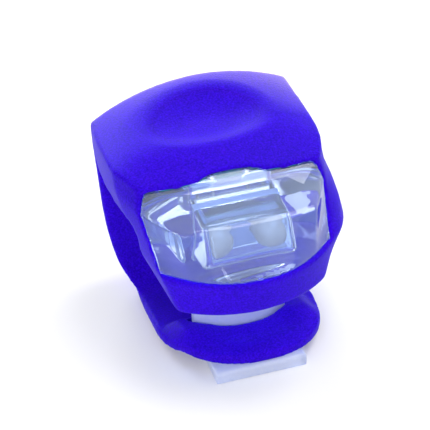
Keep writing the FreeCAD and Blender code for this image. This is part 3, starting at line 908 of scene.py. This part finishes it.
@dataclass
class StrapLip:
    """The slack shape of the strap's round lip.

    It is raised beside the hook's shank, its edge droops, and it lies a little to the right.
    """

    middle_y: float = 10.0
    rise: Span = (0.6, 1.2)
    rise_x: Span = (4.0, 8.0)
    rise_ends: Span = (13.0, 10.0)
    rise_front: Span = (0.0, 5.0)
    rise_back: float = 8.0
    half: Span = (13.9, 14.2)
    droop: float = 0.45
    droop_rim: Span = (0.8, 1.0)
    droop_back: float = 5.0
    shift: float = 1.2
    shift_y: Span = (9.0, -3.0)

    def apply(self, skin: Shape) -> None:
        """Moves the lip to its slack shape.

        Args:
            skin: the whole sleeve's skin, which changes.
        """
        for vert in skin.verts:
            x, y, z = vert.co / MM
            if z > LIP_HIGH_Z or y > self.middle_y:
                continue
            middle, beside = self.rise
            across = middle + (beside - middle) * ease(abs(x), *self.rise_x)
            along = ease(y, *self.rise_front) * ease(y, self.middle_y, self.rise_back)
            vert.co.z += across * ease(abs(x), *self.rise_ends) * along * MM
            rim = math.hypot(x / self.half[0], (y - self.middle_y) / self.half[1])
            droop = self.droop * ease(rim, *self.droop_rim) * ease(y, self.middle_y, self.droop_back)
            vert.co.z -= droop * MM
            vert.co.x += self.shift * MM * ease(y, *self.shift_y)


@dataclass
class StrapRoot:
    """The slanted line where the strap leaves the hood, and bends."""

    z: float = 26.1
    y: float = 31.05
    slant: float = 0.7
    overlap: float = 0.3
    reach: float = 1.0
    hinge_y: float = 32.05
    bend_depth: float = 4.0

    def lengthen(self, strap: Shape) -> None:
        """Raises the CAD strap's top a little into the hood."""
        top = [v for v in strap.verts if v.co.z > (self.z - self.overlap) * MM]
        bmesh.ops.translate(strap, vec=(0.0, 0.0, self.overlap * MM), verts=top)

    def split(self, skin: Shape) -> None:
        """Cuts the skin along the root's plane, and lets the two sides go.

        Args:
            skin: the whole sleeve's skin, which changes.
        """
        near = [f for f in skin.faces if f.calc_center_median().y > (self.y - self.reach) * MM]
        parts = set(near)
        for face in near:
            parts.update(face.edges)
            parts.update(face.verts)
        cut = bmesh.ops.bisect_plane(skin, geom=list(parts), dist=CUT_METRES,
                                     plane_co=(0.0, self.y * MM, self.z * MM),
                                     plane_no=(0.0, -self.slant, 1.0))
        line = [item for item in cut["geom_cut"] if isinstance(item, bmesh.types.BMEdge)]
        bmesh.ops.split_edges(skin, edges=line)

    def below(self, skin: Shape) -> list[bool]:
        """Finds the strap in a split skin.

        Args:
            skin: the split skin.

        Returns:
            For each vertex, whether it hangs together with the lowest one.
        """
        lowest = min(skin.verts, key=lambda v: v.co.z)
        found, reach = {lowest}, [lowest]
        while reach:
            for edge in reach.pop().link_edges:
                fresh = [vert for vert in edge.verts if vert not in found]
                found.update(fresh)
                reach.extend(fresh)
        LOG.info("strap: %d of %d vertices", len(found), len(skin.verts))
        return [v in found for v in skin.verts]

    def part_from(self, sleeve: Piece) -> Piece:
        """Parts the strap from the hood across its root, and closes both cuts.

        Args:
            sleeve: the sleeve, which loses its strap.

        Returns:
            The strap.
        """
        skin = shape_of(sleeve)
        self.split(skin)
        strap_shape = skin.copy()
        marks = self.below(skin)
        for shape, keep in ((skin, False), (strap_shape, True)):
            shape.verts.ensure_lookup_table()
            drop = [v for v, mark in zip(shape.verts, marks) if mark is not keep]
            bmesh.ops.delete(shape, geom=drop, context="VERTS")
            rims = [e for e in shape.edges if e.is_boundary]
            bmesh.ops.holes_fill(shape, edges=rims, sides=0)
        reshape(sleeve, skin)
        return object_of("bar_strap", strap_shape)

    def tie(self, strap: Piece) -> None:
        """Bakes the strap's placement into its mesh."""
        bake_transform(strap)


@dataclass
class SiliconeSleeve:
    """The soft sleeve: the hood over the housing, the thumb pad in its top, and the bar's strap."""

    nodes: dict[str, Piece]
    shop: PaintShop
    pad: ThumbPad = field(default_factory=ThumbPad)
    hollow: Hollow = field(default_factory=Hollow)
    lip: StrapLip = field(default_factory=StrapLip)
    root: StrapRoot = field(default_factory=StrapRoot)
    voxel: float = 0.36
    smoothing: int = 5

    def moulded(self) -> Piece:
        """Moulds the whole sleeve as one evenly meshed skin.

        Returns:
            The sleeve, with its soft edges and its slack, uneven shape.
        """
        hood, pad, strap = (shape_of(self.nodes[name])
                            for name in ("silicone_hood", "press_pad", "silicone_strap"))
        self.pad.spread_out(pad)
        self.root.lengthen(strap)
        piece = skinned("sleeve", joined([hood, pad, strap]), self.voxel)
        skin = shape_of(piece)
        soften(skin, skin.verts, self.smoothing)
        SoftEdges(self.pad).apply(skin)
        skin.normal_update()
        self.hollow.apply(skin)
        self.lip.apply(skin)
        reshape(piece, skin)
        return piece

    def build(self) -> None:
        """Builds the hood, the pad and the strap, ties the hood and the pad to their bodies, and bakes
        the strap in place.
        """
        sleeve = self.moulded()
        pad = self.pad.part_from(sleeve)
        strap = self.root.part_from(sleeve)
        sleeve.name = sleeve.data.name = "silicone_sleeve"
        for piece, node in ((sleeve, "silicone_hood"), (pad, "press_pad"), (strap, "silicone_strap")):
            shade(piece.data, SOFT_DEGREES)
            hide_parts(node)
            self.shop.deliver(piece, SILICONE, "silicone")
        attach(sleeve, "light")
        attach(pad, "button")
        self.root.tie(strap)


@dataclass
class ClearMoulding:
    """The clear housing.

    It has a mould's soft edges, its chamber's window leans as it does on the real light, and its
    hook is satin.
    """

    nodes: dict[str, Piece]
    shop: PaintShop
    voxel: float = 0.36
    smoothing: int = 2
    window_half: float = 7.3
    window_y: Span = (-1.2, 1.4)
    window_full_y: float = -0.5
    window_z: Span = (18.4, 26.3)
    lean: float = 2.2
    lift_low: float = 2.0
    lift_high: float = 0.9
    hook_high: float = 12.4

    def window(self, skin: Shape) -> None:
        """Leans the chamber's front wall along the lens, and raises it to the LEDs' height.

        Args:
            skin: the housing's skin, which changes.
        """
        front, back = self.window_y
        low, high = self.window_z
        for vert in skin.verts:
            x, y, z = vert.co / MM
            if abs(x) > self.window_half or not front < y < back or not low < z < high:
                continue
            share = ease(y, back, self.window_full_y)
            down = ease(z, high, low)
            vert.co.y -= self.lean * MM * share * down
            vert.co.z += (self.lift_low * down + self.lift_high * (1.0 - down)) * MM * share

    def build(self) -> None:
        """Builds the housing."""
        piece = skinned("clear_moulding", shape_of(self.nodes["clear_housing"]), self.voxel)
        skin = shape_of(piece)
        soften(skin, skin.verts, self.smoothing)
        self.window(skin)
        reshape(piece, skin)
        piece.data.shade_smooth()
        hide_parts("clear_housing")
        self.shop.deliver(piece, CLEAR_PLASTIC, "clear_plastic")
        piece.data.materials.append(self.shop.material(FROSTED_PLASTIC))
        for face in piece.data.polygons:
            face.material_index = int(face.center.z < self.hook_high * MM)
        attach(piece, "light")


@dataclass
class DiodeCore:
    """What shows inside a clear LED: the cup on its post, the die, the second post and the wire."""

    side: Side
    shop: PaintShop
    post_width: float = 0.5
    post_round: float = 0.06
    post_gap: float = 1.27
    post_back: float = 8.5
    second_post_step: float = 0.3
    cup_face: float = 3.9
    cup_radius: float = 0.75
    cup_depth: float = 0.5
    cup_taper: float = 0.62
    cup_sides: int = 28
    cup_rim: float = 0.12
    bowl_depth: float = 0.32
    bowl_taper: float = 0.7
    die_size: float = 0.32
    die_y: Span = (0.16, 0.34)
    die_round: float = 0.03
    wire_radius: float = 0.04
    wire_sides: int = 8
    wire_y: float = 0.2
    wire_steps: int = 14

    def cup(self, x: float, z: float) -> Shape:
        """Makes the reflector cup, a thin cone that opens forwards.

        Args:
            x: the LED's axis across, in millimetres.
            z: the LED's axis up, in millimetres.

        Returns:
            The cup.
        """
        shape = bmesh.new()
        bmesh.ops.create_cone(shape, cap_ends=True, segments=self.cup_sides,
                              radius1=self.cup_radius * self.cup_taper * MM,
                              radius2=self.cup_radius * MM, depth=self.cup_depth * MM)
        front = max(shape.faces, key=lambda f: f.calc_center_median().z)
        bmesh.ops.inset_region(shape, faces=[front], thickness=self.cup_rim * MM)
        floor = raised(shape, [front])
        bmesh.ops.delete(shape, geom=[front], context="FACES_ONLY")
        bmesh.ops.translate(shape, vec=(0.0, 0.0, -self.bowl_depth * MM), verts=floor)
        centre = sum((v.co for v in floor), Vector()) / len(floor)
        bmesh.ops.scale(shape, vec=(self.bowl_taper, self.bowl_taper, 1.0),
                        space=Matrix.Translation(-centre), verts=floor)
        bmesh.ops.rotate(shape, matrix=FACING_FORWARDS, verts=shape.verts)
        place = Vector((x, self.cup_face + self.cup_depth / 2.0, z)) * MM
        bmesh.ops.translate(shape, vec=place, verts=shape.verts)
        face_outwards(shape)
        return shape

    def post(self, x: float, z: float, front: float) -> Shape:
        """A square post, from its front end to the LED's back."""
        half = self.post_width / 2.0
        return block((x - half, front, z - half), (x + half, self.post_back, z + half), self.post_round)

    def posts(self, x: float, z: float) -> Shape:
        """Makes the post behind the cup and the post that the wire lands on.

        Args:
            x: the LED's axis across, in millimetres.
            z: the LED's axis up, in millimetres.

        Returns:
            The two posts.
        """
        inner = self.post(x, z, self.cup_face + self.cup_depth)
        outer = self.post(x + self.side.value * self.post_gap, z, self.cup_face + self.second_post_step)
        return joined([inner, outer])

    def wire(self, x: float, z: float) -> Shape:
        """Makes the bond wire, an arc from the die to the second post.

        Args:
            x: the LED's axis across, in millimetres.
            z: the LED's axis up, in millimetres.

        Returns:
            The wire.
        """
        shape = bmesh.new()
        reach = self.side.value * self.post_gap
        bmesh.ops.create_circle(shape, cap_ends=True, radius=self.wire_radius * MM,
                                segments=self.wire_sides)
        start = Vector((x, self.cup_face + self.wire_y, z)) * MM
        bmesh.ops.rotate(shape, matrix=FACING_FORWARDS, verts=shape.verts)
        bmesh.ops.translate(shape, vec=start, verts=shape.verts)
        bmesh.ops.spin(shape, geom=shape.faces[:], cent=start + Vector((reach / 2.0 * MM, 0.0, 0.0)),
                       axis=(0.0, 0.0, float(self.side.value)), angle=math.pi, steps=self.wire_steps,
                       use_merge=False, use_duplicate=False)
        face_outwards(shape)
        return shape

    def die(self, x: float, z: float) -> Shape:
        """Makes the light-giving die, on the cup's floor.

        Args:
            x: the LED's axis across, in millimetres.
            z: the LED's axis up, in millimetres.

        Returns:
            The die.
        """
        half = self.die_size / 2.0
        front, back = (self.cup_face + step for step in self.die_y)
        return block((x - half, front, z - half), (x + half, back, z + half), self.die_round)

    def build(self) -> None:
        """Builds the parts inside one LED."""
        x, z = led_axis(self.side)
        name = self.side.name.lower()
        frame = joined([self.cup(x, z), self.posts(x, z)])
        rows = ((f"led_{name}_frame", frame, TINNED_STEEL, "tinned_steel"),
                (f"led_{name}_wire", self.wire(x, z), GOLD, "contact_brass"),
                (f"led_{name}_die", self.die(x, z), DIE, "led_epoxy"))
        for title, shape, finish, slot in rows:
            piece = object_of(title, shape)
            self.shop.deliver(piece, finish, slot)
            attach(piece, "light")


@dataclass
class SolderWork:
    """The solder on the board's top: a cone at each LED lead, and beads at the small parts' ends."""

    shop: PaintShop
    lead_pitch: float = 1.27
    lead_inset: float = 0.25
    cone_radius: float = 0.75
    cone_tip: float = 0.32
    cone_height: float = 0.55
    cone_sides: int = 20
    cone_waist: float = 0.8
    bead_radius: float = 0.22
    bead_flatness: float = 0.7
    bead_step: float = 0.05
    bead_segments: tuple[int, int] = (14, 8)
    beads: tuple[tuple[str, int], ...] = (
        ("controller_chip", 4), ("resistors", 2), ("capacitor", 1))

    def cone(self, x: float, y: float, z: float) -> Shape:
        """Makes a solder cone round a lead, with its flank drawn in.

        Args:
            x: across, in millimetres.
            y: back, in millimetres.
            z: the board's top, in millimetres.

        Returns:
            The cone.
        """
        shape = bmesh.new()
        bmesh.ops.create_cone(shape, cap_ends=True, segments=self.cone_sides,
                              radius1=self.cone_radius * MM, radius2=self.cone_tip * MM,
                              depth=self.cone_height * MM)
        upright = [e for e in shape.edges
                   if abs((e.verts[0].co - e.verts[1].co).z) > MERGE_METRES]
        made = bmesh.ops.subdivide_edges(shape, edges=upright, cuts=2)
        rings = {v for v in made["geom_inner"] if isinstance(v, bmesh.types.BMVert)}
        bmesh.ops.scale(shape, vec=(self.cone_waist, self.cone_waist, 1.0), verts=list(rings))
        place = Vector((x, y, z + self.cone_height / 2.0)) * MM
        bmesh.ops.translate(shape, vec=place, verts=shape.verts)
        face_outwards(shape)
        return shape

    def bead(self, x: float, y: float, z: float) -> Shape:
        """Makes a low bead of solder at a small part's end.

        Args:
            x: across, in millimetres.
            y: back, in millimetres.
            z: its middle up, in millimetres.

        Returns:
            The bead.
        """
        shape = bmesh.new()
        around, upwards = self.bead_segments
        bmesh.ops.create_uvsphere(shape, u_segments=around, v_segments=upwards,
                                  radius=self.bead_radius * MM)
        bmesh.ops.scale(shape, vec=(1.0, 1.0, self.bead_flatness), verts=shape.verts)
        bmesh.ops.translate(shape, vec=Vector((x, y, z)) * MM, verts=shape.verts)
        return shape

    def build(self) -> None:
        """Builds all the solder as one piece."""
        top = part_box("circuit_board")[1].z / MM
        lead_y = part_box("led_leads")[1].y / MM - self.lead_inset
        shapes = []
        for side in Side:
            middle = led_axis(side)[0]
            shapes += [self.cone(middle + sign * self.lead_pitch, lead_y, top) for sign in (-1, 1)]
        for node, count in self.beads:
            low, high = (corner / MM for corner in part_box(node))
            for step in range(count):
                x = low.x + (high.x - low.x) * (step + 0.5) / count
                shapes += [self.bead(x, y, top + self.bead_step) for y in (low.y, high.y)]
        piece = object_of("board_solder", joined(shapes))
        self.shop.deliver(piece, SOLDER, "tinned_steel")
        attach(piece, "light")


@dataclass
class PhotoCamera:
    """The camera at the photograph's angle."""

    azimuth: float = -14.6
    elevation: float = 32.0
    roll: float = -3.5
    distance: float = 199.8
    target: Place = (-4.5, 2.0, 27.5)
    focal_pixels: float = 1300.0
    clip_metres: Span = (0.005, 10.0)

    def build(self) -> None:
        """Makes the camera and gives it to the scene."""
        round_z, height, roll = (math.radians(angle)
                                 for angle in (self.azimuth, self.elevation, self.roll))
        level = Vector((math.cos(round_z), math.sin(round_z), 0.0))
        outwards = Vector((math.sin(round_z), -math.cos(round_z), 0.0))
        back = outwards * math.cos(height) + Vector((0.0, 0.0, math.sin(height)))
        up = back.cross(level)
        right = level * math.cos(roll) + up * math.sin(roll)
        above = up * math.cos(roll) - level * math.sin(roll)
        data = bpy.data.cameras.new("photo_camera")
        data.sensor_width = SENSOR_WIDTH
        data.lens = self.focal_pixels / PHOTO_SIDE_PIXELS * SENSOR_WIDTH
        data.clip_start, data.clip_end = self.clip_metres
        camera = linked("photo_camera", data)
        turn = Matrix((right, above, back)).transposed().to_4x4()
        place = (Vector(self.target) + back * self.distance) * MM
        camera.matrix_world = Matrix.Translation(place) @ turn
        bpy.context.scene.camera = camera


@dataclass(frozen=True)
class Lamp:
    """One soft square lamp."""

    name: str
    place: Place
    watts: float
    size: float

    def build(self, target: Place) -> None:
        """Hangs the lamp and turns it to a target.

        Args:
            target: the target, in millimetres.
        """
        data = bpy.data.lights.new(self.name, "AREA")
        data.energy = self.watts
        data.size = self.size * MM
        made = linked(self.name, data)
        made.location = Vector(self.place) * MM
        aim = Vector(target) * MM - made.location
        made.rotation_mode = "QUATERNION"
        made.rotation_quaternion = aim.to_track_quat("-Z", "Y")


@dataclass
class Studio:
    """The pale floor, the white surroundings and the soft lamps."""

    floor_half_metres: float = 3.0
    floor_colour: Colour = (0.86, 0.86, 0.86)
    floor_lift: float = 0.12
    ambient: float = 0.5
    mirrored: float = 1.95
    aim: Place = (0.0, 12.0, 15.0)
    lamps: tuple[Lamp, ...] = (
        Lamp("key_lamp", (210.0, 60.0, 460.0), 1.4, 320.0),
        Lamp("back_lamp", (-60.0, 480.0, 200.0), 2.2, 300.0),
        Lamp("front_lamp", (-240.0, -420.0, 220.0), 1.05, 260.0),
    )

    def seen(self, desk: Desk) -> Socket:
        """Tells the rays that show the background: the camera's, and those off gloss or through glass.

        Args:
            desk: the tree's desk.

        Returns:
            1 for those rays, and 0 for the others.
        """
        path = desk.add("ShaderNodeLightPath")
        camera, gloss, glass = (path.outputs[name] for name in
                                ("Is Camera Ray", "Is Glossy Ray", "Is Transmission Ray"))
        return desk.maths("MAXIMUM", desk.maths("MAXIMUM", camera, gloss), glass)

    def floor(self) -> None:
        """The floor that the light stands on."""
        shape = bmesh.new()
        bmesh.ops.create_grid(shape, x_segments=1, y_segments=1, size=self.floor_half_metres)
        floor = object_of("floor", shape)
        made = bpy.data.materials.new("pale_floor")
        desk = cleared(made)
        paper = desk.add("ShaderNodeBsdfDiffuse", {"Color": (*self.floor_colour, 1.0)})
        lift = desk.maths("MULTIPLY", self.seen(desk), self.floor_lift)
        glow = desk.add("ShaderNodeEmission", {"Strength": lift})
        both = desk.add("ShaderNodeAddShader", {0: paper.outputs[0], 1: glow.outputs[0]})
        desk.show("ShaderNodeOutputMaterial", both.outputs[0])
        floor.data.materials.append(made)

    def surroundings(self) -> None:
        """A world that is white to the camera, bright in gloss and glass, and soft where it lights."""
        world = bpy.data.worlds.new("white_room")
        desk = cleared(world)
        camera = desk.add("ShaderNodeLightPath").outputs["Is Camera Ray"]
        others = desk.ramp(self.seen(desk), (0.0, 1.0), (self.ambient, self.mirrored))
        strength = desk.add("ShaderNodeMix", {0: camera, 2: others, 3: 1.0}).outputs[0]
        sky = desk.add("ShaderNodeBackground", {"Color": (1.0, 1.0, 1.0, 1.0), "Strength": strength})
        desk.show("ShaderNodeOutputWorld", sky.outputs[0])
        bpy.context.scene.world = world

    def build(self) -> None:
        """Sets the whole studio, with plain colour handling."""
        self.floor()
        self.surroundings()
        for lamp in self.lamps:
            lamp.build(self.aim)
        bpy.context.scene.view_settings.view_transform = "Standard"


def main() -> None:
    """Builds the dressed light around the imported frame."""
    logging.basicConfig(level=logging.INFO, format="%(name)s %(message)s")
    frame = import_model()
    PhotoCamera().build()
    Studio().build()
    shop = PaintShop()
    shop.dress_nodes(frame["nodes"])
    SiliconeSleeve(frame["nodes"], shop).build()
    ClearMoulding(frame["nodes"], shop).build()
    for side in Side:
        DiodeCore(side, shop).build()
    SolderWork(shop).build()


if __name__ == "__main__":
    main()
